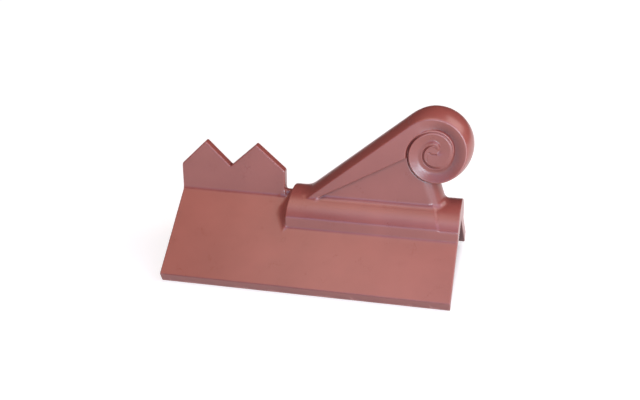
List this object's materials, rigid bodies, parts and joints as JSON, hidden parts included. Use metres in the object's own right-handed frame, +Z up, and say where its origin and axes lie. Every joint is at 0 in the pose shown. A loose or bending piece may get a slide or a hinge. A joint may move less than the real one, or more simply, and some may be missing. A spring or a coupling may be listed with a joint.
{
  "type": "scroll finial ridge tile",
  "caption": "Angled clay ridge tile carrying a scroll finial on a rounded saddle at one end and an upright two-peaked comb at the other.",
  "frame": {"origin": "under the middle of the whole piece, on the plane that the two wings' feet stand on", "axes": "+X along the ridge towards the scroll, +Y across the ridge, +Z up"},
  "size_m": [0.4628, 0.2634, 0.2737],
  "materials": {
    "red_clay": "satin"
  },
  "bodies": {
    "root": {"scroll_ridge_finial": "red_clay"}
  },
  "joints": []
}
